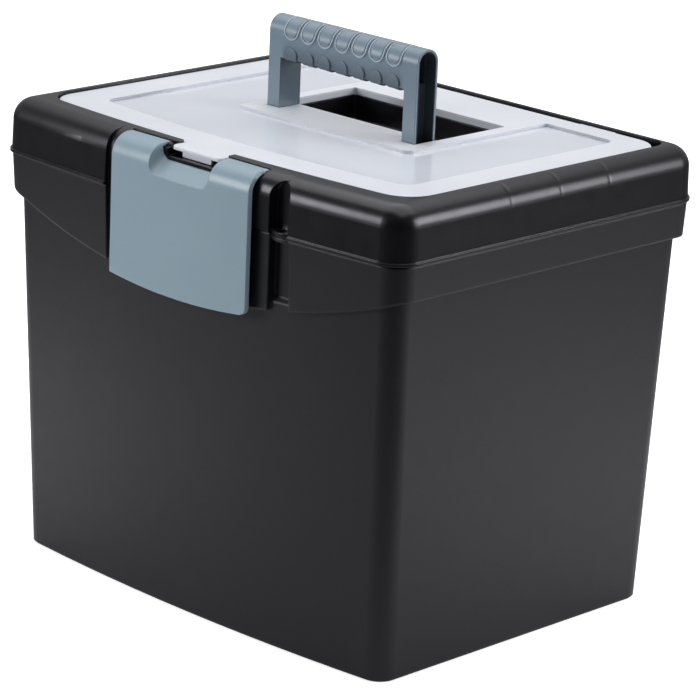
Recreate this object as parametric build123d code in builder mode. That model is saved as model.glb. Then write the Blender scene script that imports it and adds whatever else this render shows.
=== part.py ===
"""Portable file box: a drafted tub with a hinged lid, a frosted cover over the
lid's tray, a handle that folds flat into a well, and a latch at the front.

Millimetres, +Z up. The origin is the centre of the base, the latch side faces
-Y, the hinges are at +Y and the padlock groove is on the +X side of the latch.
"""
import os
from math import cos, radians, sin, sqrt, tan

from build123d import *

os.makedirs("parts", exist_ok=True)

# ---------------------------------------------------------------- driving sizes
# a plan outline is a width along X and two reaches along -Y and +Y; its front bulges
front_bow = 8.0
running_gap = 0.4          # between pieces that move past each other
seat_gap = 0.3             # where one piece rests on another
pin_fit = 0.08             # radial clearance of a bore that turns on its pin
pin_grip = 0.01            # radial clearance of a bore that holds its pin

# tub
base_width = 309.0
base_depth = 227.5
tub_height = 249.4
side_draft = 1.51          # outward lean of the side walls, degrees
end_draft = 1.87           # and of the front and back walls
tub_corner = 12.5
tub_wall = 2.4
floor_thickness = 2.8
foot_height = 2.0
foot_width = 9.0
foot_edge = 1.2

# band round the mouth of the tub; its front edge dips like a smile
band_side = 5.0            # how far the band stands out from the side walls at the top
band_face = 4.1            # and from the front and back walls
band_draft = 2.4
band_corner = 14.0
band_brim = 0.7            # chamfer along the upper edge
band_height = 21.0
smile_drop = 29.0
smile_end = 3.0            # the smile ends this far inside the band's sides
band_wall = 3.4
band_floor = 3.0
tongue_thickness = 1.4
tongue_height = 3.4
tongue_setback = 22.0      # the tongue stops this far behind the front corners
rail_height = 7.0
rail_thickness = 1.8
rail_setback = 22.0

# lid
lid_reach = 1.0            # how far the lid stands out from the band
lid_height = 32.8
lid_gap = 0.6              # seam between tub and lid
lid_draft = 1.8
lid_corner = 16.5
lid_round = 13.0
lid_wall = 2.5
bead_height = 1.6
bead_reach = 1.0
tray_wall = 2.0
tray_base = 5.6            # underside of the tray above the lid's lower edge
tray_corner = 5.0
shelf = 6.0                # width of the step that carries the cover
divider_height = 15.0
divider_thickness = 1.8
divider_end = 1.0          # the dividers end this far ahead of the tray's front corners

# cover
cover_drop = 1.4           # top of the cover below the lid's ledge
cover_side = 15.5          # from the lid's side to the cover's side
cover_ledge = 22.0         # from the lid's front corner to the cover's
cover_rear = 15.8          # from the lid's back to the cover's back
cover_corner = 20.0
cover_plate = 2.2
cover_edge = 0.8
cover_side_gap = 0.6
cover_back_gap = 3.0
trough_depth = 6.1         # below the hinge axis of the cover
rear_corner = 12.0         # of the opening in the lid, where the back of the cover turns
side_border = 25.0
front_border = 24.5
back_border = 16.2
panel_corner = 7.0
panel_drop = 2.0
platform_width = 144.0
platform_front = 23.6
platform_corner = 6.0
cover_rib = 1.6
cover_rib_depth = 4.0
cover_rib_gap = 0.8
finger_width = 42.0
finger_reach = 11.0        # how far the finger tab passes the cover's front
finger_corner = 4.0
catch_width = 24.0
catch_depth = 3.4
catch_thickness = 1.8
catch_inset = 1.2          # behind the finger tab's edge

# well for the folded handle
well_side_gap = 1.5        # between the handle's ends and the well
well_front = 8.0
well_back_gap = 2.9
well_corner = 2.0
well_wall = 2.0
lip_depth = 4.4
lip_thickness = 1.8

# handle
handle_width = 123.0
handle_rise = 55.2         # top of the grip above the platform
handle_drop = 0.5          # folded handle below the platform
leg_width = 10.0
leg_depth = 17.4
leg_centre = 0.4
leg_wall = 2.0
leg_front_room = 5.0       # room in the lid's well ahead of the legs
grip_height = 24.4
grip_wall = 2.2
rib_count = 7
rib_pitch = 14.2
rib_width = 12.6           # of an upper rib, a raised loop round a pad
rib_reach = 0.9            # how far the ribs stand out from the flat faces of the grip
rib_crest = 0.1            # and above the top of the handle's plain ends
rib_groove = 0.7           # width and depth of the line between loop and pad
rib_rim = 1.0              # width of the loop
upper_rib_base = 18.2      # centre of an upper rib's end above the grip's underside
lower_rib_width = 10.4
lower_rib_base = 2.2
lower_rib_bulge = 1.4      # below the grip's underside
rib_fold = 3.0             # rounding of the lower ribs under the grip
grip_dip = 0.9             # top of the grip between the ribs, below its plain ends
notch_gap = 0.8

# latch
latch_width = 115.0
latch_reach = 2.5          # front face ahead of the lid's wall
latch_plate = 3.2
latch_drop = 3.2           # lower edge below the band's smile
latch_corner = 5.0
latch_round = 13.0
horn_drop = 0.3            # top of the horns below the lid's ledge
horn_plate = 2.3
horn_gap = 50.0            # between the two horns
latch_axis_back = 13.4     # hinge axis behind the lid's front
latch_barrel = 2.9
barrel_inset = 0.2         # between a horn's inner side and its barrel
scoop_drop = 17.2          # floor of the scoop at the front, below the lid's ledge
scoop_slope = 33.7
scoop_run = 11.3
scoop_plate = 2.6
scoop_corner = 6.0
scoop_side = 3.0
hook_width = 50.0
hook_reach = 4.4
hook_thickness = 2.0
bay_depth = 3.0
bay_width = 133.0          # on the right the bay runs on to the padlock groove
bay_side_gap = 1.0         # beside the latch, at the top
catch_margin = 2.0         # band that stays beside the hook
bay_drop = 3.0
bay_round = 8.0

# padlock groove and hasp tabs
groove_width = 17.5
groove_centre = 77.2
groove_depth = 8.2
groove_foot = 8.0          # height of the slope at the foot of the groove
groove_step = 2.0          # the bay's recess ends this far right of the groove's centre
groove_top = 2.4           # arch below the lid's ledge
hasp_thickness = 2.4
hasp_hole = 5.6
hasp_bulge = 1.2           # the tabs' rounded fronts

# hinges and pins
hinge_centre = 98.5
lid_axis_reach = 6.3       # hinge axis behind the lid's back wall
lid_axis_drop = 0.1
lid_knuckle = 4.2          # radius
lid_knuckle_width = 20.0
tub_ear_width = 7.0
tub_ear_height = 14.0
lid_pin = 3.0
cover_axis_inset = 3.2     # hinge axis ahead of the cover's back edge
cover_knuckle = 1.9        # radius
cover_knuckle_width = 17.0
cover_tab_reach = 1.0
cover_ear_width = 5.0
cover_ear = 1.55           # radius
cover_ear_base = 5.2       # foot of the ears below the hinge axis
cover_pin = 1.4
handle_pin = 3.0
handle_ear_width = 4.6
handle_ear = 4.5           # radius
handle_boss = 3.0
latch_pin = 2.2
latch_ear_width = 2.6
latch_ear = 2.2            # radius

# ------------------------------------------------------- derived levels, places
far = 400.0                # longer than anything here, for cutting tools
overlap = 1.0              # how far roots and tools reach into their neighbours


def lean(angle, height):
    """Sideways travel of a drafted wall over a height."""
    return tan(radians(angle)) * height


mouth_width = base_width + 2 * lean(side_draft, tub_height)
mouth_depth = base_depth + 2 * lean(end_draft, tub_height)
band_width = mouth_width + 2 * band_side
band_depth = mouth_depth + 2 * band_face
band_low = tub_height - band_height
smile_low = band_low - smile_drop
smile_half = band_width / 2 - lean(band_draft, band_height) - smile_end
smile_radius = (smile_half ** 2 + smile_drop ** 2) / (2 * smile_drop)
rail_z = band_low + band_floor
lid_width = band_width + 2 * lid_reach
lid_depth = band_depth + 2 * lid_reach
lid_low = tub_height + lid_gap
lid_top = lid_low + lid_height
lid_front = lid_depth / 2 + front_bow
cover_width = lid_width - 2 * cover_side
cover_front = lid_depth / 2 - cover_ledge
cover_back = lid_depth / 2 - cover_rear
cover_top = lid_top - cover_drop
plate_low = cover_top - cover_plate
shelf_z = plate_low - seat_gap
panel_width = cover_width - 2 * side_border
panel_front = cover_front - front_border
panel_back = cover_back - back_border
leg_half = leg_depth / 2
pivot_z = cover_top - handle_drop - leg_half
well_floor = pivot_z - leg_half - rib_reach - running_gap
well_width = handle_width + 2 * well_side_gap
well_fore = leg_centre - leg_half - leg_front_room
handle_top = cover_top + handle_rise
grip_low = handle_top - grip_height
arch_z = handle_top - leg_half
well_back = leg_centre + handle_top - pivot_z + well_back_gap + rib_reach
leg_inner = handle_width / 2 - leg_width
latch_front = lid_front + latch_reach
latch_top = lid_top - horn_drop
latch_inner_round = latch_round - latch_plate
latch_axis_y = latch_axis_back - lid_front
latch_axis_z = latch_top - latch_barrel
bay_top = lid_top - bay_drop
bay_back = latch_axis_y + latch_barrel + running_gap
scoop_z = lid_top - scoop_drop
scoop_back = scoop_run - latch_front
scoop_half = horn_gap / 2 + scoop_side
finger_front = cover_front + front_bow + finger_reach
slot_floor = plate_low - catch_depth - running_gap
lid_axis_y = lid_depth / 2 + lid_axis_reach
lid_axis_z = lid_low - lid_axis_drop
cover_axis_y = cover_back - cover_axis_inset
cover_axis_z = plate_low - cover_knuckle
pan_width = cover_width - 2 * shelf
pan_front = cover_front - shelf
pan_back = cover_back + cover_back_gap
tray_z = lid_low + tray_base
groove_left = groove_centre - groove_width / 2
groove_right = groove_centre + groove_width / 2


def bow_at(x, width):
    """How far a bowed front stands out at x, beyond its corners."""
    return front_bow * (1 - (2 * x / width) ** 2)


def smile_at(x):
    """Height of the band's lower front edge at x."""
    return smile_low + smile_radius - sqrt(smile_radius ** 2 - x ** 2)


groove_back = groove_depth - band_depth / 2 - bow_at(groove_centre, band_width)
groove_low = smile_at(groove_left)
hasp_front = running_gap - band_depth / 2 - bow_at(groove_right, band_width)
hasp_y = (hasp_front + groove_back) / 2


def bowed_plan(width, front, back, radius, rear=0.0):
    """Plan outline whose front edge is an arc; the back corners may have their own radius."""
    with BuildSketch() as plan:
        with BuildLine():
            arc = ThreePointArc((-width / 2, -front), (0, -front - front_bow), (width / 2, -front))
            Polyline(arc @ 1, (width / 2, back), (-width / 2, back), arc @ 0)
        make_face()
        if rear > 0:
            fillet(plan.vertices().sort_by(Axis.Y)[-2:], rear)
            fillet(plan.vertices().sort_by(Axis.Y)[:2], radius)
        else:
            fillet(plan.vertices(), radius)
    return plan.sketch


def tub_plan(height, inset=0.0):
    """Plan outline of the tub's walls at a height, or of their inner faces."""
    half = base_depth / 2 + lean(end_draft, height) - inset
    width = base_width + 2 * (lean(side_draft, height) - inset)
    return bowed_plan(width, half, half, tub_corner - inset)


def box_plan(left, right, front, back, radius=0.0):
    """Rectangle between two X values and two Y values, with rounded corners."""
    with BuildSketch() as plan:
        with BuildLine():
            Polyline((left, front), (right, front), (right, back), (left, back), close=True)
        make_face()
        if radius > 0:
            fillet(plan.vertices(), radius)
    return plan.sketch


def outline(points):
    """Polygon through the points."""
    with BuildSketch() as plan:
        with BuildLine():
            Polyline(*points, close=True)
        make_face()
    return plan.sketch


def lens(y, z, radius, length):
    """Upright slot from a centre upwards by a length, for a sketch on a YZ plane."""
    with BuildSketch() as plan:
        with BuildLine():
            Polyline((y - radius, z), (y + radius, z), (y + radius, z + length), (y - radius, z + length),
                     close=True)
        make_face()
        with Locations((y, z), (y, z + length)):
            Circle(radius)
    return plan.sketch


def smile_plan(half, low, end):
    """Region of the XZ plane under an arc that dips to low at the middle."""
    with BuildSketch() as plan:
        with BuildLine():
            arc = ThreePointArc((-half, end), (0, low), (half, end))
            Polyline(arc @ 1, (far, end), (far, -far), (-far, -far), (-far, end), arc @ 0)
        make_face()
    return plan.sketch


def bowed_block(reach, top, radius):
    """Solid whose bowed front stands a reach ahead of the lid's wall, with a round top edge."""
    with BuildPart() as block:
        with BuildSketch(Plane.XY.offset(-far)):
            add(bowed_plan(lid_width, lid_depth / 2 + reach, 0, lid_corner))
        extrude(amount=top + far)
        fillet(block.faces().sort_by(Axis.Z)[-1].edges().sort_by(Axis.Y)[0], radius)
    return block.part


def hasp_plan():
    """Tab across the padlock groove, with a rounded front and the padlock's hole."""
    with BuildSketch() as plan:
        with BuildLine():
            arc = ThreePointArc((groove_left, hasp_front + bay_depth),
                                (groove_centre, hasp_front - hasp_bulge), (groove_right, hasp_front))
            Polyline(arc @ 1, (groove_right + overlap, hasp_front),
                     (groove_right + overlap, groove_back + overlap),
                     (groove_left - overlap, groove_back + overlap),
                     (groove_left - overlap, hasp_front + bay_depth), arc @ 0)
        make_face()
        with Locations((groove_centre, hasp_y)):
            Circle(hasp_hole / 2, mode=Mode.SUBTRACT)
    return plan.sketch


def knob_plan(x, base, width, end):
    """Bar of the XZ plane from a round end upwards to a height."""
    with BuildSketch() as plan:
        add(box_plan(x - width / 2, x + width / 2, base, end))
        with Locations((x, base)):
            Circle(width / 2)
    return plan.sketch


# --------------------------------------------------------------------- the tub
band_start = smile_low - band_wall
band_levels = ((band_start, lean(band_draft, tub_height - band_start)),
               (tub_height - band_brim, lean(band_draft, band_brim)), (tub_height, band_brim))
catch_half = hook_width / 2 + catch_margin

with BuildPart() as band:
    for height, shrink in band_levels:
        with BuildSketch(Plane.XY.offset(height)):
            add(bowed_plan(band_width - 2 * shrink, band_depth / 2 - shrink, band_depth / 2 - shrink,
                           band_corner))
    loft(ruled=True)
    with BuildSketch(Plane.XZ):
        add(smile_plan(smile_half, smile_low, band_low))
    extrude(amount=far, mode=Mode.SUBTRACT)
    with BuildSketch():
        add(box_plan(-far, far, -overlap, far))
    extrude(amount=band_low, mode=Mode.SUBTRACT)
    # bay of the latch, but for the catch of its hook, and padlock groove
    with BuildSketch():
        add(box_plan(-bay_width / 2, groove_right, -far, 0))
        add(bowed_plan(band_width, band_depth / 2 - bay_depth, 0, band_corner), mode=Mode.SUBTRACT)
        add(box_plan(-catch_half, catch_half, -far, 0), mode=Mode.SUBTRACT)
        add(box_plan(groove_centre, far, -far, 0), mode=Mode.SUBTRACT)
        add(box_plan(groove_left, groove_right, -far, 0))
    extrude(amount=far, mode=Mode.SUBTRACT)

cavity_z = foot_height + floor_thickness
with BuildPart() as cavity:
    for height in (cavity_z, tub_height + tub_wall):
        with BuildSketch(Plane.XY.offset(height)):
            add(tub_plan(height, tub_wall))
    loft(ruled=True)

ear_span = lid_knuckle_width / 2 + running_gap + tub_ear_width
ear_starts = [side * hinge_centre + offset for side in (-1, 1)
              for offset in (-ear_span, ear_span - tub_ear_width)]

with BuildPart() as tub:
    for height, inset in ((0, foot_edge), (foot_edge, 0), (tub_height, 0)):
        with BuildSketch(Plane.XY.offset(height)):
            add(tub_plan(height, inset))
    loft(ruled=True)
    add(band.part)
    add(cavity.part, mode=Mode.SUBTRACT)
    # recess under the floor, which leaves a foot round the edge
    foot_half = base_depth / 2 - foot_width
    with BuildSketch():
        add(bowed_plan(base_width - 2 * foot_width, foot_half, foot_half, tub_corner - foot_width / 2))
    extrude(amount=foot_height, mode=Mode.SUBTRACT)
    # ledges behind the band at the sides, and the rails that the folders hang on
    rail_half = base_depth / 2 - tub_wall + lean(end_draft, rail_z)
    ledge_x = band_width / 2 - band_wall
    ledge_y = rail_half - tub_corner
    with BuildSketch(Plane.XY.offset(rail_z)):
        add(box_plan(-ledge_x, ledge_x, -ledge_y, ledge_y))
    extrude(amount=tub_height - rail_z, mode=Mode.SUBTRACT)
    rail_x = base_width / 2 - tub_wall + lean(side_draft, rail_z) + rail_thickness / 2
    with BuildSketch(Plane.XY.offset(rail_z)):
        with Locations((-rail_x, 0), (rail_x, 0)):
            Rectangle(rail_thickness, 2 * (rail_half - rail_setback))
    extrude(amount=rail_height)
    # tongue that rises inside the lid, at the sides and the back
    tongue_half = lid_depth / 2 - lid_wall - running_gap
    tongue_width = lid_width - 2 * (lid_wall + running_gap)
    inner_half = tongue_half - tongue_thickness
    tongue_corner = lid_corner - lid_wall
    with BuildSketch(Plane.XY.offset(tub_height)):
        add(bowed_plan(tongue_width, tongue_half, tongue_half, tongue_corner))
        add(bowed_plan(tongue_width - 2 * tongue_thickness, inner_half, inner_half,
                       tongue_corner - tongue_thickness), mode=Mode.SUBTRACT)
        add(box_plan(-far, far, -far, tongue_setback - lid_depth / 2), mode=Mode.SUBTRACT)
    extrude(amount=tongue_height)
    # pocket of the padlock groove with a sloped foot, its backing and its hasp tab
    with BuildSketch(Plane.XY.offset(groove_low + groove_foot / 2)):
        add(box_plan(groove_left - tub_wall, groove_right + tub_wall,
                     groove_back - tub_wall, groove_back + tub_wall))
    extrude(amount=tub_height - groove_low - groove_foot / 2)
    with BuildSketch(Plane.YZ.offset(groove_left)):
        add(outline([(-far, groove_low), (groove_back - groove_foot, groove_low),
                     (groove_back, groove_low + groove_foot), (groove_back, far), (-far, far)]))
    extrude(amount=groove_width, mode=Mode.SUBTRACT)
    with BuildSketch(Plane.XY.offset(tub_height - hasp_thickness)):
        add(hasp_plan())
    extrude(amount=hasp_thickness)
    # hinge ears at the back, two for each hinge
    ear_back = band_depth / 2 - band_wall / 2
    ear_top = tub_height - running_gap
    ear_foot = lid_knuckle / sqrt(2)
    for start in ear_starts:
        with BuildSketch(Plane.YZ.offset(start)):
            add(outline([(ear_back, lid_axis_z - tub_ear_height), (ear_back, ear_top),
                         (lid_axis_y, ear_top), (lid_axis_y + ear_foot, lid_axis_z - ear_foot)]))
            with Locations((lid_axis_y, lid_axis_z)):
                Circle(lid_knuckle)
                Circle(lid_pin / 2 + pin_grip, mode=Mode.SUBTRACT)
        extrude(amount=tub_ear_width)

tub.part.label = "tub"
export_step(tub.part, "parts/tub.step")

# --------------------------------------------------------------------- the lid
with BuildPart() as shell:
    with BuildSketch(Plane.XY.offset(lid_low)):
        add(bowed_plan(lid_width, lid_depth / 2, lid_depth / 2, lid_corner))
    extrude(amount=lid_height, taper=lid_draft)
    fillet(shell.faces().sort_by(Axis.Z)[-1].edges(), lid_round)

with BuildPart() as hollow:
    hollow_half = lid_depth / 2 - lid_wall
    with BuildSketch(Plane.XY.offset(lid_low)):
        add(bowed_plan(lid_width - 2 * lid_wall, hollow_half, hollow_half, lid_corner - lid_wall))
    extrude(amount=lid_height - lid_wall, taper=lid_draft)
    fillet(hollow.faces().sort_by(Axis.Z)[-1].edges(), lid_round - lid_wall)

# material behind the bay, the scoop and the groove, kept within the shell
notch_drop = (scoop_plate + running_gap) / cos(radians(scoop_slope))
notch_back = scoop_back + running_gap
notch_low = scoop_z - notch_drop
core_back = bay_back + lid_wall
core_half = bay_width / 2 + lid_wall
core_fore = lid_wall + bay_depth - lid_depth / 2 - bow_at(core_half, lid_width)
with BuildPart() as core:
    with BuildSketch(Plane.XY.offset(lid_low)):
        add(box_plan(-core_half, core_half, -lid_front, core_fore))
        add(box_plan(groove_left - lid_wall, groove_right + lid_wall, -lid_front, groove_back + lid_wall))
    extrude(amount=lid_height)
    with BuildSketch(Plane.XY.offset(latch_axis_z - latch_barrel - running_gap - lid_wall)):
        add(box_plan(-core_half, core_half, -lid_front, core_back))
    extrude(amount=far)
    with BuildSketch(Plane.XY.offset(notch_low - lid_wall)):
        add(box_plan(-scoop_half - lid_wall, scoop_half + lid_wall, -lid_front, notch_back + lid_wall))
    extrude(amount=far)
    add(shell.part, mode=Mode.INTERSECT)

barrel_end = latch_width / 2
barrel_start = horn_gap / 2 + barrel_inset
latch_ears = [-barrel_end - running_gap - latch_ear_width, running_gap - barrel_start,
              barrel_start - running_gap - latch_ear_width, barrel_end + running_gap]
cover_ear_span = cover_knuckle_width / 2 + running_gap + cover_ear_width
cover_ears = [side * hinge_centre + offset for side in (-1, 1)
              for offset in (-cover_ear_span, cover_ear_span - cover_ear_width)]


def opening_plan():
    """Opening in the top of the lid, round the cover."""
    return bowed_plan(cover_width + 2 * cover_side_gap, cover_front + cover_side_gap, pan_back,
                      cover_corner, rear_corner)


# recess for the latch, and the shallower one beside it that fades out at the top
with BuildPart() as bay:
    bay_half = latch_width / 2 + bay_side_gap
    with BuildSketch(Plane.XY.offset(lid_low - lid_gap)):
        add(box_plan(-bay_half, bay_half, -far, bay_back))
    extrude(amount=far)
    add(bowed_block(-bay_depth, bay_top, bay_round), mode=Mode.SUBTRACT)
with BuildPart() as strip:
    with BuildSketch(Plane.XY.offset(lid_low - lid_gap)):
        add(box_plan(-bay_width / 2, groove_centre + groove_step, -far, 0))
    extrude(amount=far)
    add(bowed_block(-bay_depth, lid_top, lid_round), mode=Mode.SUBTRACT)

with BuildPart() as lid:
    add(shell.part)
    with BuildSketch(Plane.XY.offset(lid_low)):
        add(bowed_plan(lid_width + 2 * bead_reach, lid_depth / 2 + bead_reach,
                       lid_depth / 2 + bead_reach, lid_corner + bead_reach))
    extrude(amount=bead_height)
    add(hollow.part, mode=Mode.SUBTRACT)
    add(core.part)
    # tray under the cover, with the step that carries the cover
    with BuildSketch(Plane.XY.offset(tray_z)):
        add(bowed_plan(pan_width + 2 * tray_wall, pan_front + tray_wall, pan_back + tray_wall,
                       tray_corner + tray_wall))
    extrude(amount=lid_top - lid_wall / 2 - tray_z)
    step_low = shelf_z - tray_wall
    with BuildSketch(Plane.XY.offset(step_low)):
        rim = cover_side_gap + tray_wall
        add(bowed_plan(cover_width + 2 * rim, cover_front + rim, pan_back + tray_wall,
                       cover_corner + tray_wall, rear_corner + tray_wall))
    extrude(amount=lid_top - lid_wall / 2 - step_low)
    # trough in which the back edge of the cover turns
    trough_half = cover_width / 2 + cover_side_gap
    trough_front = cover_axis_y - 2 * cover_knuckle
    trough_low = cover_axis_z - trough_depth
    with BuildSketch(Plane.XY.offset(trough_low - tray_wall)):
        add(box_plan(-trough_half - tray_wall, trough_half + tray_wall, trough_front - tray_wall,
                     pan_back + tray_wall))
    extrude(amount=lid_top - lid_wall / 2 - trough_low + tray_wall)
    with BuildSketch(Plane.XY.offset(trough_low)):
        add(opening_plan())
        add(box_plan(-far, far, -far, trough_front), mode=Mode.SUBTRACT)
    extrude(amount=far, mode=Mode.SUBTRACT)
    with BuildSketch(Plane.XY.offset(tray_z + tray_wall)):
        add(bowed_plan(pan_width, pan_front, pan_back, tray_corner))
    extrude(amount=far, mode=Mode.SUBTRACT)
    with BuildSketch(Plane.XY.offset(shelf_z)):
        add(opening_plan())
    extrude(amount=far, mode=Mode.SUBTRACT)
    # well for the folded handle, hollow underneath
    wall_half = well_width / 2 + well_wall
    well_top = cover_top - lip_depth - seat_gap
    with BuildSketch(Plane.XY.offset(tray_z)):
        add(box_plan(-wall_half, wall_half, well_fore - well_wall, well_back + well_wall,
                     well_corner + well_wall / 2))
    extrude(amount=well_top - tray_z)
    with BuildSketch(Plane.XY.offset(well_floor)):
        add(box_plan(-well_width / 2, well_width / 2, well_fore, well_back, well_corner))
    extrude(amount=far, mode=Mode.SUBTRACT)
    with BuildSketch(Plane.XY.offset(lid_low)):
        add(box_plan(-well_width / 2, well_width / 2, well_fore, well_back, well_corner))
    extrude(amount=well_floor - tray_wall - lid_low, mode=Mode.SUBTRACT)
    # dividers from the well towards the front of the tray
    divider_x = wall_half - divider_thickness / 2
    with BuildSketch(Plane.XY.offset(tray_z)):
        for side in (-1, 1):
            add(box_plan(side * divider_x - divider_thickness / 2, side * divider_x + divider_thickness / 2,
                         -pan_front - divider_end, well_fore))
    extrude(amount=tray_wall + divider_height)
    # ears of the cover's hinges, on brackets from the back of the tray
    for start in cover_ears:
        with BuildSketch(Plane.YZ.offset(start)):
            add(outline([(cover_axis_y - cover_ear, cover_axis_z), (cover_axis_y + cover_ear, cover_axis_z),
                         (cover_axis_y + cover_ear, cover_axis_z - cover_ear_base),
                         (pan_back + overlap, cover_axis_z - cover_ear_base),
                         (pan_back + overlap, cover_axis_z - 2 * cover_ear_base),
                         (cover_axis_y - cover_ear, cover_axis_z - cover_ear_base - tray_wall)]))
            with Locations((cover_axis_y, cover_axis_z)):
                Circle(cover_ear)
                Circle(cover_pin / 2 + pin_grip, mode=Mode.SUBTRACT)
        extrude(amount=cover_ear_width)
    # bay for the latch: a recess in the front that runs over the top edge
    add(bay.part, mode=Mode.SUBTRACT)
    add(strip.part, mode=Mode.SUBTRACT)
    # pockets for the barrels of the latch
    for start in (-barrel_end - running_gap, barrel_start - running_gap):
        with BuildSketch(Plane.YZ.offset(start)):
            with Locations((latch_axis_y, latch_axis_z)):
                Circle(latch_barrel + running_gap)
        extrude(amount=barrel_end - barrel_start + 2 * running_gap, mode=Mode.SUBTRACT)
    # notch under the scoop and slot for the finger tab
    slope = tan(radians(scoop_slope))
    with BuildSketch(Plane.YZ.offset(-scoop_half - running_gap)):
        add(outline([(-latch_front, notch_low), (notch_back, notch_low + slope * (notch_back + latch_front)),
                     (notch_back, far), (-latch_front, far)]))
    extrude(amount=2 * (scoop_half + running_gap), mode=Mode.SUBTRACT)
    slot_half = finger_width / 2 + running_gap
    with BuildSketch(Plane.XY.offset(slot_floor)):
        add(box_plan(-slot_half, slot_half, -far, overlap - cover_front - front_bow))
    extrude(amount=far, mode=Mode.SUBTRACT)
    # ears for the latch pins
    for start in latch_ears:
        with BuildSketch(Plane.YZ.offset(start)):
            with Locations((latch_axis_y, latch_axis_z)):
                Circle(latch_ear)
        extrude(amount=latch_ear_width)
    pin_hole_end = latch_ears[-1] + latch_ear_width
    with BuildSketch(Plane.YZ.offset(-pin_hole_end)):
        with Locations((latch_axis_y, latch_axis_z)):
            Circle(latch_pin / 2 + pin_grip)
    extrude(amount=2 * pin_hole_end, mode=Mode.SUBTRACT)
    # upper end of the padlock groove and its hasp tab
    arch_low = lid_top - groove_top - groove_width / 2
    with BuildSketch(Plane.XZ.offset(-groove_back)):
        add(box_plan(groove_left, groove_right, -far, arch_low))
        with Locations((groove_centre, arch_low)):
            Circle(groove_width / 2)
    extrude(amount=far, mode=Mode.SUBTRACT)
    with BuildSketch(Plane.XY.offset(lid_low)):
        add(hasp_plan())
    extrude(amount=hasp_thickness)
    # hinge knuckles at the back
    arm_back = lid_depth / 2 - lid_wall / 2
    for side in (-1, 1):
        with BuildSketch(Plane.YZ.offset(side * hinge_centre - lid_knuckle_width / 2)):
            add(outline([(arm_back, lid_low + running_gap), (lid_axis_y, lid_low + running_gap),
                         (lid_axis_y, lid_axis_z + lid_knuckle), (arm_back, lid_low + 2 * lid_knuckle)]))
            with Locations((lid_axis_y, lid_axis_z)):
                Circle(lid_knuckle)
                Circle(lid_pin / 2 + pin_fit, mode=Mode.SUBTRACT)
        extrude(amount=lid_knuckle_width)

lid.part.label = "lid"
export_step(lid.part, "parts/lid.step")

# ------------------------------------------------------------------- the cover
def recess_plan(grow):
    """Glossy recess of the cover, which wraps round the raised platform."""
    platform_half = platform_width / 2 - grow
    with BuildSketch() as plan:
        add(bowed_plan(panel_width + 2 * grow, panel_front + grow, panel_back + grow, panel_corner + grow))
        add(box_plan(-platform_half, platform_half, grow - platform_front, far, platform_corner),
            mode=Mode.SUBTRACT)
    return plan.sketch


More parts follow.
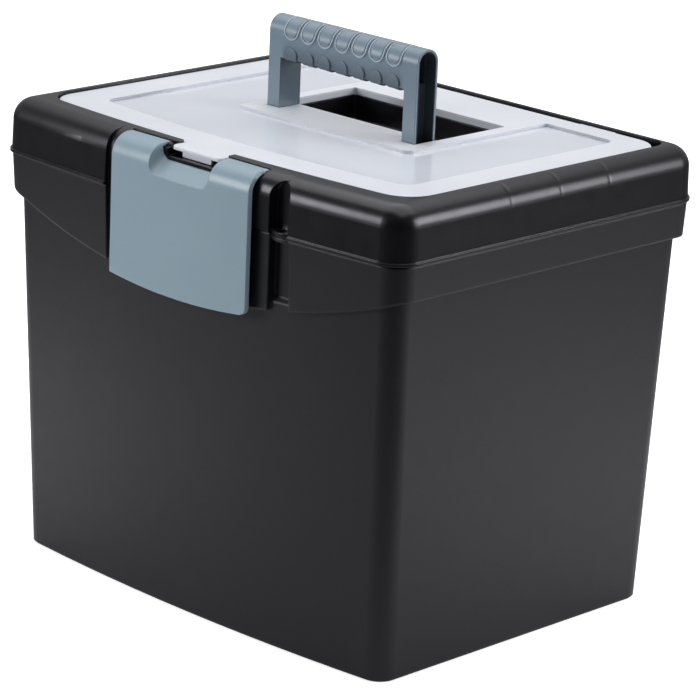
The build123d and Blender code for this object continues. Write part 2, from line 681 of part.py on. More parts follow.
notch_start = leg_inner - notch_gap
notch_end = handle_width / 2 + notch_gap
opening_half = well_width / 2
with BuildPart() as cover:
    with BuildSketch(Plane.XY.offset(plate_low)):
        add(bowed_plan(cover_width, cover_front, cover_back, cover_corner))
        add(box_plan(-finger_width / 2, finger_width / 2, -finger_front, -panel_front, finger_corner))
        tab_half = cover_knuckle_width / 2 + running_gap + cover_ear_width
        for side in (-1, 1):
            add(box_plan(side * hinge_centre - tab_half, side * hinge_centre + tab_half,
                         panel_back, cover_back + cover_tab_reach))
    extrude(amount=cover_plate)
    fillet(cover.faces().sort_by(Axis.Z)[-1].edges(), cover_edge)
    # underside of the recess, rib round the edge, lip of the well, catch
    with BuildSketch(Plane.XY.offset(plate_low - panel_drop)):
        add(recess_plan(cover_plate))
    extrude(amount=cover_plate + panel_drop - cover_edge / 2)
    rib_half = pan_width / 2 - cover_rib_gap
    rib_front = pan_front - cover_rib_gap
    rib_back = cover_axis_y - 2 * cover_knuckle - running_gap
    with BuildSketch(Plane.XY.offset(plate_low - cover_rib_depth)):
        add(bowed_plan(2 * rib_half, rib_front, rib_back, tray_corner - cover_rib_gap))
        add(bowed_plan(2 * (rib_half - cover_rib), rib_front - cover_rib, rib_back - cover_rib,
                       tray_corner - cover_rib_gap - cover_rib), mode=Mode.SUBTRACT)
    extrude(amount=cover_rib_depth)
    with BuildSketch(Plane.XY.offset(cover_top - lip_depth)):
        add(box_plan(-opening_half - lip_thickness, opening_half + lip_thickness, well_front - lip_thickness,
                     well_back + lip_thickness, well_corner + lip_thickness))
    extrude(amount=lip_depth)
    with BuildSketch(Plane.XY.offset(plate_low - catch_depth)):
        add(box_plan(-catch_width / 2, catch_width / 2, catch_inset - finger_front,
                     catch_inset + catch_thickness - finger_front))
    extrude(amount=catch_depth)
    # recess, opening of the well and notches for the legs
    with BuildSketch(Plane.XY.offset(cover_top - panel_drop)):
        add(recess_plan(0))
    extrude(amount=far, mode=Mode.SUBTRACT)
    with BuildSketch(Plane.XY.offset(cover_top - lip_depth - overlap)):
        add(box_plan(-opening_half, opening_half, well_front, well_back, well_corner))
        for side in (-1, 1):
            middle = side * (notch_start + notch_end) / 2
            reach = (notch_end - notch_start) / 2
            add(box_plan(middle - reach, middle + reach, leg_centre - leg_half - notch_gap,
                         well_front + 2 * well_corner))
    extrude(amount=far, mode=Mode.SUBTRACT)
    # ears for the handle's pins
    for start in (notch_start - handle_ear_width, -notch_start):
        with BuildSketch(Plane.YZ.offset(start)):
            add(box_plan(leg_centre - handle_ear, leg_centre + handle_ear,
                         pivot_z, plate_low + overlap))
            with Locations((leg_centre, pivot_z)):
                Circle(handle_ear)
                Circle(handle_pin / 2 + pin_grip, mode=Mode.SUBTRACT)
        extrude(amount=handle_ear_width)
    # hinge barrels under the tabs at the back
    for side in (-1, 1):
        with BuildSketch(Plane.YZ.offset(side * hinge_centre - cover_knuckle_width / 2)):
            add(box_plan(cover_axis_y - cover_knuckle, cover_axis_y + cover_knuckle,
                         cover_axis_z, plate_low + overlap))
            with Locations((cover_axis_y, cover_axis_z)):
                Circle(cover_knuckle)
                Circle(cover_pin / 2 + pin_fit, mode=Mode.SUBTRACT)
        extrude(amount=cover_knuckle_width)

cover.part.label = "cover"
export_step(cover.part, "parts/cover.step")

# ------------------------------------------------------------------ the handle
rib_xs = [rib_pitch * (index - (rib_count - 1) / 2) for index in range(rib_count)]
rib_high = grip_low + upper_rib_base
rib_low = grip_low + lower_rib_base
rib_half = leg_half + rib_reach
rib_arch = arch_z + rib_crest - rib_reach      # centre of the ribs' arch
with BuildPart() as ribs:
    with BuildSketch(Plane.YZ.offset(-leg_inner)):
        add(lens(leg_centre, rib_arch - leg_half, rib_half, leg_half))
        add(box_plan(leg_centre - rib_half, leg_centre + rib_half, grip_low - lower_rib_bulge, rib_arch,
                     rib_fold))
    extrude(amount=2 * leg_inner)
    with BuildSketch(Plane.XZ.offset(-far / 2)):
        for x in rib_xs:
            add(knob_plan(x, rib_high, rib_width, far))
            with Locations((x, rib_low)):
                Circle(lower_rib_width / 2)
    extrude(amount=far, mode=Mode.INTERSECT)

with BuildPart() as rib_lines:
    with BuildSketch(Plane.XZ.offset(-far / 2)):
        for x in rib_xs:
            add(knob_plan(x, rib_high, rib_width - 2 * rib_rim, far))
            add(knob_plan(x, rib_high, rib_width - 2 * (rib_rim + rib_groove), far), mode=Mode.SUBTRACT)
    extrude(amount=far)
    with BuildSketch(Plane.YZ.offset(-leg_inner)):
        add(lens(leg_centre, grip_low, rib_half - rib_groove, rib_arch - grip_low))
    extrude(amount=2 * leg_inner, mode=Mode.SUBTRACT)

with BuildPart() as handle:
    with BuildSketch(Plane.YZ.offset(-handle_width / 2)):
        add(lens(leg_centre, pivot_z, leg_half, arch_z - pivot_z))
    extrude(amount=handle_width)
    with BuildSketch(Plane.YZ.offset(-leg_inner)):
        add(box_plan(-far, far, 0, grip_low))
    extrude(amount=2 * leg_inner, mode=Mode.SUBTRACT)
    # top of the grip between the ribs
    with BuildSketch(Plane.YZ.offset(-rib_xs[-1])):
        add(box_plan(leg_centre - leg_width, leg_centre + leg_width, arch_z + grip_dip, far))
        with Locations((leg_centre, arch_z - grip_dip)):
            Circle(leg_half, mode=Mode.SUBTRACT)
    extrude(amount=2 * rib_xs[-1], mode=Mode.SUBTRACT)
    add(ribs.part)
    add(rib_lines.part, mode=Mode.SUBTRACT)
    # hollow grip and legs that are open to the outside
    with BuildSketch(Plane.YZ.offset(-handle_width / 2)):
        add(lens(leg_centre, grip_low, leg_half - grip_wall, arch_z - grip_low))
        add(box_plan(-far, far, -far, grip_low + grip_wall), mode=Mode.SUBTRACT)
    extrude(amount=handle_width, mode=Mode.SUBTRACT)
    for start in (-handle_width / 2, leg_inner + leg_wall):
        with BuildSketch(Plane.YZ.offset(start)):
            add(lens(leg_centre, pivot_z, leg_half - leg_wall, arch_z - pivot_z))
        extrude(amount=leg_width - leg_wall, mode=Mode.SUBTRACT)
    # bosses for the pins
    for start in (-leg_inner - leg_wall - handle_boss, leg_inner + leg_wall):
        with BuildSketch(Plane.YZ.offset(start)):
            with Locations((leg_centre, pivot_z)):
                Circle(handle_ear)
        extrude(amount=handle_boss)
    with BuildSketch(Plane.YZ.offset(-handle_width / 2)):
        with Locations((leg_centre, pivot_z)):
            Circle(handle_pin / 2 + pin_fit)
    extrude(amount=handle_width, mode=Mode.SUBTRACT)

handle.part.label = "handle"
export_step(handle.part, "parts/handle.step")

# ------------------------------------------------------------------- the latch
latch_skin = bowed_block(latch_reach, latch_top, latch_round)
latch_space = bowed_block(latch_reach - latch_plate, latch_top - horn_plate, latch_inner_round)

latch_low = smile_low - latch_drop
latch_half = latch_width / 2
latch_end = smile_at(latch_half) - latch_drop
slope_dir = (0, cos(radians(scoop_slope)), sin(radians(scoop_slope)))
scoop_plane = Plane(origin=(0, -latch_front, scoop_z), x_dir=(-1, 0, 0), z_dir=slope_dir)

scoop_low = scoop_z - scoop_plate / cos(radians(scoop_slope))
scoop_fore = latch_plate / 2 - latch_front
with BuildPart() as scoop_block:
    with BuildSketch(Plane.YZ.offset(-scoop_half)):
        add(outline([(scoop_fore, scoop_low + slope * latch_plate / 2),
                     (scoop_back, scoop_low + slope * scoop_run),
                     (scoop_back, latch_top - horn_plate / 2), (scoop_fore, latch_top - horn_plate / 2)]))
    extrude(amount=2 * scoop_half)
    add(latch_skin, mode=Mode.INTERSECT)

with BuildPart() as latch:
    add(latch_skin)
    with BuildSketch(Plane.XZ.offset(-latch_axis_y)) as front_view:
        with BuildLine():
            arc = ThreePointArc((-latch_half, latch_end), (0, latch_low), (latch_half, latch_end))
            Polyline(arc @ 1, (latch_half, lid_top), (-latch_half, lid_top), arc @ 0)
        make_face()
        fillet(front_view.vertices().sort_by(Axis.Z)[:2], latch_corner)
    extrude(amount=far, mode=Mode.INTERSECT)
    add(latch_space, mode=Mode.SUBTRACT)
    add(scoop_block.part)
    # barrels on the hinge axis and the hook under the band
    for start in (-barrel_end, barrel_start):
        with BuildSketch(Plane.YZ.offset(start)):
            with Locations((latch_axis_y, latch_axis_z)):
                Circle(latch_barrel)
        extrude(amount=barrel_end - barrel_start)
    hook_top = smile_low - running_gap
    hook_back = latch_front - latch_plate
    with BuildSketch(Plane.XY.offset(hook_top - hook_thickness)):
        add(box_plan(-hook_width / 2, hook_width / 2, latch_plate / 2 - latch_front,
                     hook_reach - hook_back))
    extrude(amount=hook_thickness)
    with BuildSketch(scoop_plane):
        add(box_plan(-horn_gap / 2, horn_gap / 2, 0, far, scoop_corner))
    extrude(amount=latch_front - lid_wall, both=True, mode=Mode.SUBTRACT)
    with BuildSketch():
        add(box_plan(-horn_gap / 2, horn_gap / 2, scoop_back, 0))
    extrude(amount=far, mode=Mode.SUBTRACT)
    with BuildSketch(Plane.YZ.offset(-barrel_end)):
        with Locations((latch_axis_y, latch_axis_z)):
            Circle(latch_pin / 2 + pin_fit)
    extrude(amount=2 * barrel_end, mode=Mode.SUBTRACT)

latch.part.label = "latch"
export_step(latch.part, "parts/latch.step")


# -------------------------------------------------------------------- the pins
def pin(start, end, y, z, radius):
    """Round pin along X between two X values."""
    with BuildPart() as rod:
        with BuildSketch(Plane.YZ.offset(start)):
            with Locations((y, z)):
                Circle(radius)
        extrude(amount=end - start)
    return rod.part


handle_pin_start = notch_start - handle_ear_width
handle_pin_end = leg_inner + leg_wall + handle_boss
for name, side in (("left", -1), ("right", 1)):
    middle = side * hinge_centre
    lid_hinge_pin = pin(middle - ear_span, middle + ear_span, lid_axis_y, lid_axis_z, lid_pin / 2)
    cover_hinge_pin = pin(middle - cover_ear_span, middle + cover_ear_span, cover_axis_y, cover_axis_z,
                          cover_pin / 2)
    handle_ends = sorted((side * handle_pin_start, side * handle_pin_end))
    handle_hinge_pin = pin(*handle_ends, leg_centre, pivot_z, handle_pin / 2)
    latch_ends = sorted((side * (barrel_start - running_gap - latch_ear_width), side * pin_hole_end))
    latch_hinge_pin = pin(*latch_ends, latch_axis_y, latch_axis_z, latch_pin / 2)
    lid_hinge_pin.label = "lid_hinge_pin_" + name
    cover_hinge_pin.label = "cover_hinge_pin_" + name
    handle_hinge_pin.label = "handle_pin_" + name
    latch_hinge_pin.label = "latch_pin_" + name
    export_step(lid_hinge_pin, "parts/lid_hinge_pin_" + name + ".step")
    export_step(cover_hinge_pin, "parts/cover_hinge_pin_" + name + ".step")
    export_step(handle_hinge_pin, "parts/handle_pin_" + name + ".step")
    export_step(latch_hinge_pin, "parts/latch_pin_" + name + ".step")
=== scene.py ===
"""Looks for the portable file box: black moulded plastic, frosted cover, grey handle and latch."""
from math import cos, radians, sin

import bpy
from mathutils import Matrix, Vector


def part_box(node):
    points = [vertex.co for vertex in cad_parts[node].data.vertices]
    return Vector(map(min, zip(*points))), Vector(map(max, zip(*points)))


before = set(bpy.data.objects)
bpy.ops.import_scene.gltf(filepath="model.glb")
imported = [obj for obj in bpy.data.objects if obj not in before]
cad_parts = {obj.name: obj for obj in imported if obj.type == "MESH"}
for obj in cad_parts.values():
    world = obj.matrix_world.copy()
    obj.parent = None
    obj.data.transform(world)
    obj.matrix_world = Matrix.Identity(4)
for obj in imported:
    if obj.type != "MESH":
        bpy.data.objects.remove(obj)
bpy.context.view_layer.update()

# ------------------------------------------------------------ sizes and places, in metres
MM = 0.001
LID_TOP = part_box("lid")[1].z
COVER_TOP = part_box("cover")[1].z
HANDLE_LOW, HANDLE_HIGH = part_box("handle")

LEG_RADIUS = 8.7 * MM                                # half the handle's depth, and its top's arch
LEG_WIDTH = 10.0 * MM
LEG_CENTRE = (HANDLE_LOW.y + HANDLE_HIGH.y) / 2
LEG_INNER = HANDLE_HIGH.x - LEG_WIDTH                # the legs' faces that look at each other
GRIP_LOW = HANDLE_HIGH.z - 24.4 * MM                 # the grip's underside
ARCH_CENTRE = HANDLE_HIGH.z - LEG_RADIUS
RIB_PITCH = 14.2 * MM
RIB_END = GRIP_LOW + 18.1 * MM                       # centre of the upper ribs' round ends

MARK_MIDDLE, MARK_PITCH = 4.5 * MM, 41.5 * MM        # sink marks along the lid's sides
MARK_HALF_WIDTH, MARK_DEPTH = 2.2 * MM, 0.12 * MM
MARK_LOW, MARK_HIGH = LID_TOP - 18.8 * MM, LID_TOP - 10.8 * MM

# ------------------------------------------------------------ colours
# the paler colours serve random patches and the paler edges, which are partly rubbed and partly a
# painted highlight
BLACK, BLACK_WORN_AND_SHEEN = (0.0040, 0.0040, 0.0055, 1), (0.0075, 0.0075, 0.0095, 1)
GREY, GREY_WORN_AND_SHEEN = (0.170, 0.232, 0.288, 1), (0.225, 0.300, 0.365, 1)
BLUE_GREY, BLUE_GREY_WORN_AND_SHEEN = (0.235, 0.325, 0.385, 1), (0.290, 0.385, 0.450, 1)
# painted highlight on the upper ribs' rims
GREY_PAINTED_HIGHLIGHT = (0.46, 0.54, 0.61, 1)
# painted shade under the grip and on the legs' inner faces
GREY_PAINTED_SHADE = (0.052, 0.072, 0.095, 1)
# painted shade inside the hollow grip and the legs' channels
GREY_PAINTED_HOLLOW_SHADE = (0.040, 0.050, 0.062, 1)
MATT, MATT_PALE = (0.66, 0.68, 0.745, 1), (0.70, 0.72, 0.775, 1)
GLOSSY, GLOSSY_PALE = (0.61, 0.64, 0.71, 1), (0.65, 0.68, 0.75, 1)
STEEL, STEEL_PALE = (0.50, 0.50, 0.52, 1), (0.66, 0.66, 0.68, 1)
PAPER, PAPER_PALE = (0.80, 0.80, 0.80, 1), (0.83, 0.83, 0.83, 1)
UNLIT, WHITE = (0, 0, 0, 1), (1, 1, 1, 1)
COOL = (0.91, 0.91, 1.0, 1)                          # tint of what the black plastic mirrors


# ------------------------------------------------------------ node helpers
class Nodes:
    """Adds and links the nodes of one material or world."""

    def __init__(self, owner, output):
        owner.use_nodes = True
        self.owner = owner
        self.tree = owner.node_tree
        self.tree.nodes.clear()
        self.out = self.node(output)

    def node(self, kind, **settings):
        made = self.tree.nodes.new("ShaderNode" + kind)
        for key, value in settings.items():
            setattr(made, key, value)
        return made

    def link(self, source, target):
        self.tree.links.new(source, target)

    def feed(self, value, socket):
        """Sets a socket to a value, or links it to another node's output."""
        if isinstance(value, bpy.types.NodeSocket):
            self.link(value, socket)
        else:
            socket.default_value = value

    def finish(self, shader):
        """Links the last shader to the output and gives back the material or world."""
        self.link(shader.outputs[0], self.out.inputs[0])
        return self.owner

    def math(self, operation, first, second=0.0):
        made = self.node("Math", operation=operation)
        self.feed(first, made.inputs[0])
        self.feed(second, made.inputs[1])
        return made.outputs[0]

    def product(self, first, *others):
        for other in others:
            first = self.math("MULTIPLY", first, other)
        return first

    def span(self, value, low, high, to_low=0.0, to_high=1.0, kind="LINEAR"):
        """Maps low..high to to_low..to_high, and holds the ends beyond them."""
        made = self.node("MapRange", clamp=True, interpolation_type=kind)
        for index, number in enumerate((value, low, high, to_low, to_high)):
            self.feed(number, made.inputs[index])
        return made.outputs[0]

    def until(self, value, low, high):
        """1 below low, falling to 0 at high."""
        return self.span(value, low, high, 1.0, 0.0)

    def place(self):
        if not hasattr(self, "coordinates"):
            self.coordinates = self.node("TexCoord")
        return self.coordinates.outputs["Object"]

    def axes(self):
        if not hasattr(self, "split"):
            self.split = self.node("SeparateXYZ")
            self.link(self.place(), self.split.inputs[0])
        return self.split.outputs

    def length(self, first, second):
        """Distance from the origin of a plane."""
        squares = [self.product(value, value) for value in (first, second)]
        return self.math("SQRT", self.math("ADD", *squares))

    def noise(self, scale, detail=3.0, rough=0.5, where=None):
        made = self.node("TexNoise")
        made.inputs["Scale"].default_value = scale
        made.inputs["Detail"].default_value = detail
        made.inputs["Roughness"].default_value = rough
        self.link(where or self.place(), made.inputs["Vector"])
        return made.outputs[0]

    def spread(self, noise, low=0.0, high=1.0):
        """Maps the range that a noise mostly keeps to."""
        usual_low, usual_high = 0.3, 0.7
        return self.span(noise, usual_low, usual_high, low, high)

    def mix(self, factor, first, second):
        made = self.node("Mix", data_type="RGBA")
        for index, value in ((0, factor), (6, first), (7, second)):
            self.feed(value, made.inputs[index])
        return made.outputs[2]

    def dot(self, first, second):
        made = self.node("VectorMath", operation="DOT_PRODUCT")
        self.feed(first, made.inputs[0])
        self.feed(second, made.inputs[1])
        return made.outputs["Value"]

    def bump(self, height, distance, normal=None, strength=1.0):
        made = self.node("Bump")
        made.inputs["Strength"].default_value = strength
        made.inputs["Distance"].default_value = distance
        self.link(height, made.inputs["Height"])
        if normal is not None:
            self.link(normal, made.inputs["Normal"])
        return made.outputs[0]

    def soft_edges(self, radius):
        """Normal that rounds the moulded edges."""
        made = self.node("Bevel", samples=6)
        made.inputs["Radius"].default_value = radius
        return made.outputs[0]

    def edge_mask(self, radius):
        """1 at sharp edges and corners, 0 on flat walls."""
        flat_dot, edge_dot = 0.998, 0.9
        flat = self.node("NewGeometry").outputs["Normal"]
        return self.span(self.dot(self.soft_edges(radius), flat), flat_dot, edge_dot)


def new_material(name):
    return Nodes(bpy.data.materials.new(name), "OutputMaterial")


# ------------------------------------------------------------ places on the pieces
def sink_marks(s):
    """Shallow upright dips in the rounding of the lid's sides, where ribs stand behind them."""
    _, y, z = s.axes()
    total = 0.0
    for step in (-1, 0, 1):
        away = s.math("ABSOLUTE", s.math("SUBTRACT", y, MARK_MIDDLE + step * MARK_PITCH))
        dip = s.span(away, MARK_HALF_WIDTH, 0.0, 0.0, -1.0, "SMOOTHSTEP")
        total = s.math("ADD", dip, total)
    return s.product(total, s.span(z, MARK_LOW, MARK_HIGH))


def painted_shade_in_handle_hollow(s):
    """Painted shade: 1 on the inner faces of the hollow grip and of the legs' channels."""
    x, y, z = s.axes()
    skin, soft = 1.6 * MM, 0.3 * MM
    rim, rim_soft = 1.1 * MM, 0.4 * MM
    above = s.math("MAXIMUM", s.math("SUBTRACT", z, ARCH_CENTRE), 0.0)
    reach = s.length(s.math("SUBTRACT", y, LEG_CENTRE), above)
    inside = s.until(reach, LEG_RADIUS - rim - rim_soft, LEG_RADIUS - rim)
    grip = s.span(z, GRIP_LOW + skin, GRIP_LOW + skin + soft)
    leg = s.span(s.math("ABSOLUTE", x), LEG_INNER + skin, LEG_INNER + skin + soft)
    return s.product(inside, s.math("MAXIMUM", grip, leg))


def painted_shade_under_grip(s):
    """Painted shade: strongest under the grip, fading down the legs' inner faces and up the grip's
    sides.
    """
    leg_foot, leg_head, foot_shade, head_shade = COVER_TOP - 1.4 * MM, GRIP_LOW - 6.3 * MM, 0.45, 0.95
    grip_start, grip_end, start_shade = GRIP_LOW - 0.5 * MM, GRIP_LOW + 11.2 * MM, 0.85
    x, _, z = s.axes()
    off = s.math("ABSOLUTE", x)
    facing = s.until(off, LEG_INNER + 0.02 * MM, LEG_INNER + 0.08 * MM)
    under = s.until(z, grip_start, GRIP_LOW + 0.1 * MM)
    legs = s.product(facing, under, s.span(z, leg_foot, leg_head, foot_shade, head_shade))
    between = s.until(off, LEG_INNER - 4.0 * MM, LEG_INNER - 0.3 * MM)
    grip = s.product(between, s.span(z, grip_start, grip_end, start_shade, 0.0))
    return s.math("MAXIMUM", legs, grip)


def painted_highlight_on_rib_rims(s):
    """Marks the rims of the upper ribs, where a highlight is painted into the colour."""
    rim_inner, rim_outer, strength = 4.3 * MM, 6.4 * MM, 0.75
    half = RIB_PITCH / 2
    x, _, z = s.axes()
    turn = s.math("FLOORED_MODULO", s.math("ADD", x, half), RIB_PITCH)
    below = s.math("MINIMUM", s.math("SUBTRACT", z, RIB_END), 0.0)
    reach = s.length(s.math("SUBTRACT", turn, half), below)
    outside = s.span(reach, rim_inner, rim_inner + 0.4 * MM)
    inside = s.until(reach, rim_outer - 0.2 * MM, rim_outer)
    grip = s.until(s.math("ABSOLUTE", x), LEG_INNER - 2.0 * MM, LEG_INNER - 1.7 * MM)
    return s.product(outside, inside, grip, strength)


# ------------------------------------------------------------ materials
def moulded(name, colour, worn_and_sheen, rough, grain, grain_depth, radius, marks=None, painted_light=(), tint=WHITE):
    """Moulded plastic: fine grain, slow changes of tone and polish, and smoother, paler edges;
    the paler edges are partly rubbed pale and partly a painted highlight.

    The marks are dips in the surface, and each painted place is a mask with a colour of painted
    highlight or painted shade.
    """
    slow_scale, cloudy_scale = 14.0, 90.0
    patches, wear_and_sheen, wear_and_sheen_width = 0.35, 0.5, 1.6 * radius
    rough_spread, edge_polish = 0.02, -0.06
    slow_height = 0.6
    s = new_material(name)
    surface = s.node("BsdfPrincipled")
    slow = s.noise(slow_scale, detail=2.0)
    cloudy = s.noise(cloudy_scale)
    fine = s.noise(grain, detail=4.0, rough=0.6)
    edge = s.edge_mask(wear_and_sheen_width)

    tone = s.mix(s.spread(slow, 0.0, patches), colour, worn_and_sheen)
    # paler edges: partly rubbed pale, partly a painted highlight
    tone = s.mix(s.product(edge, wear_and_sheen), tone, worn_and_sheen)
    # each painted place lays a painted highlight or painted shade over the tone
    for where, paint in painted_light:
        tone = s.mix(where(s), tone, paint)
    s.link(tone, surface.inputs["Base Color"])

    polish = s.spread(cloudy, rough - rough_spread, rough + rough_spread)
    polish = s.math("ADD", polish, s.product(edge, edge_polish))
    s.link(polish, surface.inputs["Roughness"])

    normal = s.soft_edges(radius)
    if marks:
        normal = s.bump(marks(s), MARK_DEPTH, normal)
    height = s.math("ADD", fine, s.product(slow, slow_height))
    s.link(s.bump(height, grain_depth, normal), surface.inputs["Normal"])
    surface.inputs["Specular Tint"].default_value = tint
    return s.finish(surface)


def frosted_cover():
    """Frosted polypropylene: matt border and platform, glossy recess."""
    recess_start, recess_full = COVER_TOP - 1.2 * MM, COVER_TOP - 1.5 * MM
    smoothest, roughest, recess_polish = 0.30, 0.38, -0.26
    slow_scale, cloudy_scale, grain = 11.0, 60.0, 1300.0
    grain_depth, radius = 0.02 * MM, 0.5 * MM
    s = new_material("frosted_cover")
    surface = s.node("BsdfPrincipled")
    slow = s.noise(slow_scale, detail=2.0)
    cloudy = s.noise(cloudy_scale)
    fine = s.noise(grain, detail=4.0, rough=0.6)
    recess = s.span(s.axes()[2], recess_start, recess_full)

    border_tone = s.mix(s.spread(slow), MATT, MATT_PALE)
    recess_tone = s.mix(s.spread(slow), GLOSSY, GLOSSY_PALE)
    s.link(s.mix(recess, border_tone, recess_tone), surface.inputs["Base Color"])
    polish = s.math("ADD", s.spread(cloudy, smoothest, roughest), s.product(recess, recess_polish))
    s.link(polish, surface.inputs["Roughness"])
    s.link(s.bump(fine, grain_depth, s.soft_edges(radius)), surface.inputs["Normal"])
    return s.finish(surface)


def pin_wire():
    """Drawn steel wire: fine scratches along the pin."""
    along, across = 40.0, 1200.0
    smoothest, roughest = 0.22, 0.38
    s = new_material("pin_wire")
    surface = s.node("BsdfPrincipled")
    stretch = s.node("Mapping")
    stretch.inputs["Scale"].default_value = (along, across, across)
    s.link(s.place(), stretch.inputs["Vector"])
    scratches = s.noise(1.0, where=stretch.outputs[0])

    s.link(s.mix(scratches, STEEL, STEEL_PALE), surface.inputs["Base Color"])
    s.link(s.spread(scratches, smoothest, roughest), surface.inputs["Roughness"])
    s.link(s.bump(scratches, 0.01 * MM, strength=0.5), surface.inputs["Normal"])
    surface.inputs["Metallic"].default_value = 1.0
    return s.finish(surface)


def dress(node, material):
    """Gives every slot of a CAD node one material."""
    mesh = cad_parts[node].data
    mesh.materials.clear()
    mesh.materials.append(material)


# painted highlight on the rib rims, and painted shade under the grip and inside the hollow handle
HANDLE_PAINTED_LIGHT = ((painted_highlight_on_rib_rims, GREY_PAINTED_HIGHLIGHT), (painted_shade_under_grip, GREY_PAINTED_SHADE), (painted_shade_in_handle_hollow, GREY_PAINTED_HOLLOW_SHADE))

dress("tub", moulded("tub_plastic", BLACK, BLACK_WORN_AND_SHEEN, rough=0.44, grain=900.0,
                     grain_depth=0.03 * MM, radius=1.8 * MM, tint=COOL))
dress("lid", moulded("lid_plastic", BLACK, BLACK_WORN_AND_SHEEN, rough=0.30, grain=900.0,
                     grain_depth=0.01 * MM, radius=0.9 * MM, tint=COOL, marks=sink_marks))
dress("handle", moulded("handle_plastic", GREY, GREY_WORN_AND_SHEEN, rough=0.32, grain=1100.0,
                        grain_depth=0.01 * MM, radius=0.9 * MM, painted_light=HANDLE_PAINTED_LIGHT))
dress("latch", moulded("latch_plastic", BLUE_GREY, BLUE_GREY_WORN_AND_SHEEN, rough=0.32, grain=1100.0,
                       grain_depth=0.01 * MM, radius=1.3 * MM))
dress("cover", frosted_cover())
steel = pin_wire()
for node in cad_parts:
    if "_pin" in node:
        dress(node, steel)


# ------------------------------------------------------------ floor and light
FLOOR_HALF = 6.0
FLOOR_GLOW = 0.62                          # what the camera sees besides the lit paper
GLOW_MIRRORED = 0.5                        # share of the glow that the object mirrors
AHEAD_SLOPE = 0.6
# Fades of the mirrored floor: a distance (from, to), and the level at both.
# painted shadow on the mirrored floor under the object, seen only in what the object mirrors
PAINTED_SHADOW_UNDER_OBJECT = (0.18, 0.45, 0.70, 1.0)
FIRST_FADE = (0.43, 0.82, 1.0, 0.20)
LAST_FADE = (0.85, 1.30, 1.0, 0.30)
FRONT_FADE = (0.08, 0.40, 1.0, 0.40)

# The room's levels: a direction, how far a ray agrees with it (from, to), and the level at both.
FILL_TOWARD, FILL = (-0.5, 0.5, 0.7), (-0.5, 0.8, 0.12, 0.60)
GLOSS_TOWARD, GLOSS = (-0.69, 0.72, 0.0), (-0.3, 0.8, 0.02, 0.32)
LIFT_TOWARD, LIFT = (0.0, 0.0, 1.0), (0.05, 0.30, 1.0, 1.8)

# Soft boxes: place, the point aimed at, width and height in metres, and watts.
SOFT_BOXES = {
    "top": ((-0.4, 0.6, 2.3), (-0.4, 0.6, 0.2), 3.6, 2.8, 54),
    "left": ((-0.85, -1.25, 0.66), (0, -0.1, 0.24), 0.60, 0.62, 10),
    "right": ((1.18, 0.82, 0.62), (0.16, 0, 0.26), 0.60, 0.58, 10),
}


def floor_paper():
    """White to the camera, with the soft shadow; its reflection fades out away from the object,
    and has a painted shadow under the object.
    """
    s = new_material("floor_white")
    paper = s.node("BsdfDiffuse")
    glow = s.node("Emission")
    rays = s.node("LightPath").outputs
    x, y, _ = s.axes()
    away = s.length(x, y)
    ahead = s.math("SUBTRACT", s.product(x, AHEAD_SLOPE), y)
    near = s.product(s.span(away, *PAINTED_SHADOW_UNDER_OBJECT), s.span(away, *FIRST_FADE),
                     s.span(away, *LAST_FADE), s.span(ahead, *FRONT_FADE))

    white = s.mix(s.noise(3.0), PAPER, PAPER_PALE)
    mirrored = s.mix(near, UNLIT, white)
    s.link(s.mix(rays["Is Glossy Ray"], white, mirrored), paper.inputs["Color"])

    seen = s.math("MAXIMUM", rays["Is Camera Ray"], rays["Is Transmission Ray"])
    seen = s.math("MAXIMUM", seen, s.product(rays["Is Glossy Ray"], near, GLOW_MIRRORED))
    glow.inputs["Color"].default_value = WHITE
    s.link(s.product(seen, FLOOR_GLOW), glow.inputs["Strength"])

    both = s.node("AddShader")
    s.link(paper.outputs[0], both.inputs[0])
    s.link(glow.outputs[0], both.inputs[1])
    return s.finish(both)


def floor():
    low, high = -FLOOR_HALF, FLOOR_HALF
    corners = [(low, low, 0), (high, low, 0), (high, high, 0), (low, high, 0)]
    mesh = bpy.data.meshes.new("floor")
    mesh.from_pydata(corners, [], [range(len(corners))])
    mesh.materials.append(floor_paper())
    made = bpy.data.objects.new("floor", mesh)
    bpy.context.scene.collection.objects.link(made)


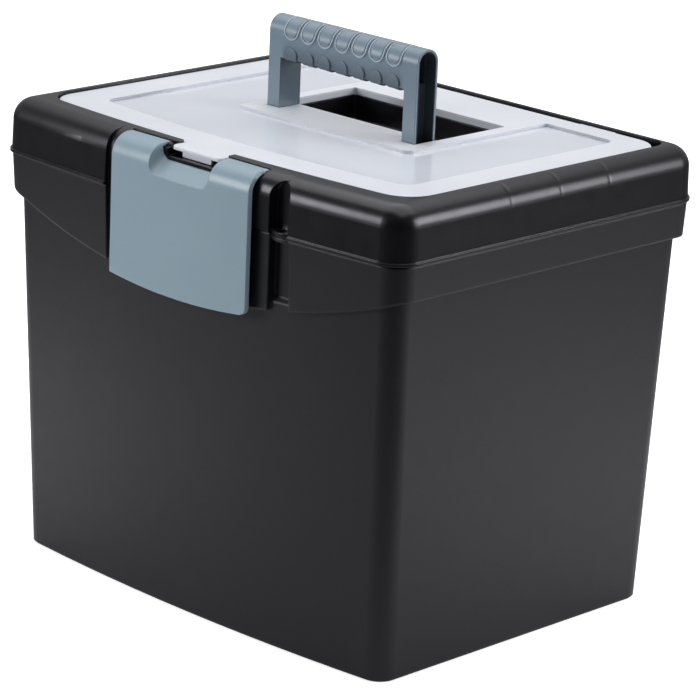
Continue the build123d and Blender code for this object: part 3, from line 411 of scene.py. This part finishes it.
def soft_box(name, place, aim, width, height, power):
    lamp = bpy.data.lights.new(name, "AREA")
    lamp.shape = "RECTANGLE"
    lamp.size = width
    lamp.size_y = height
    lamp.energy = power
    made = bpy.data.objects.new(name, lamp)
    made.location = place
    made.rotation_mode = "QUATERNION"
    made.rotation_quaternion = (Vector(aim) - Vector(place)).to_track_quat("-Z", "Y")
    made.visible_camera = False
    bpy.context.scene.collection.objects.link(made)


def room():
    """White to the camera; the room itself is brighter behind and above the object than in front."""
    s = Nodes(bpy.data.worlds.new("studio"), "OutputWorld")
    back = s.node("Background")
    rays = s.node("LightPath").outputs
    outward = s.node("TexCoord").outputs["Generated"]

    fill = s.span(s.dot(outward, FILL_TOWARD), *FILL)
    gloss = s.span(s.dot(outward, GLOSS_TOWARD), *GLOSS)
    lift = s.span(s.dot(outward, LIFT_TOWARD), *LIFT)
    level = s.span(rays["Is Glossy Ray"], 0.0, 1.0, fill, s.product(gloss, lift))
    for ray in ("Is Transmission Ray", "Is Camera Ray"):
        level = s.span(rays[ray], 0.0, 1.0, level, 1.0)
    s.link(level, back.inputs["Strength"])
    bpy.context.scene.world = s.finish(back)


floor()
room()
for box_name, settings in SOFT_BOXES.items():
    soft_box(box_name, *settings)


# ------------------------------------------------------------ camera
CAMERA_PLACE = (1.46802, -1.49746, 0.78385)
CAMERA_LENS, CAMERA_SENSOR = 186.4, 36     # in Blender's millimetres
CAMERA_FAR = 50                            # clipping distance, in metres
AZIMUTH, ELEVATION, ROLL = radians(44.26), radians(17.07), radians(2.43)


def camera():
    """The photograph's camera, fitted to the box's corners."""
    right = Vector((cos(AZIMUTH), sin(AZIMUTH), 0))
    ahead = Vector((-sin(AZIMUTH) * cos(ELEVATION), cos(AZIMUTH) * cos(ELEVATION), -sin(ELEVATION)))
    up = right.cross(ahead)
    turned_right = cos(ROLL) * right + sin(ROLL) * up
    turned_up = -sin(ROLL) * right + cos(ROLL) * up
    data = bpy.data.cameras.new("camera")
    data.sensor_width = CAMERA_SENSOR
    data.lens = CAMERA_LENS
    data.clip_end = CAMERA_FAR
    made = bpy.data.objects.new("camera", data)
    turn = Matrix((turned_right, turned_up, -ahead)).transposed().to_4x4()
    made.matrix_world = Matrix.Translation(CAMERA_PLACE) @ turn
    bpy.context.scene.collection.objects.link(made)
    bpy.context.scene.camera = made


camera()
bpy.context.scene.view_settings.view_transform = "Standard"
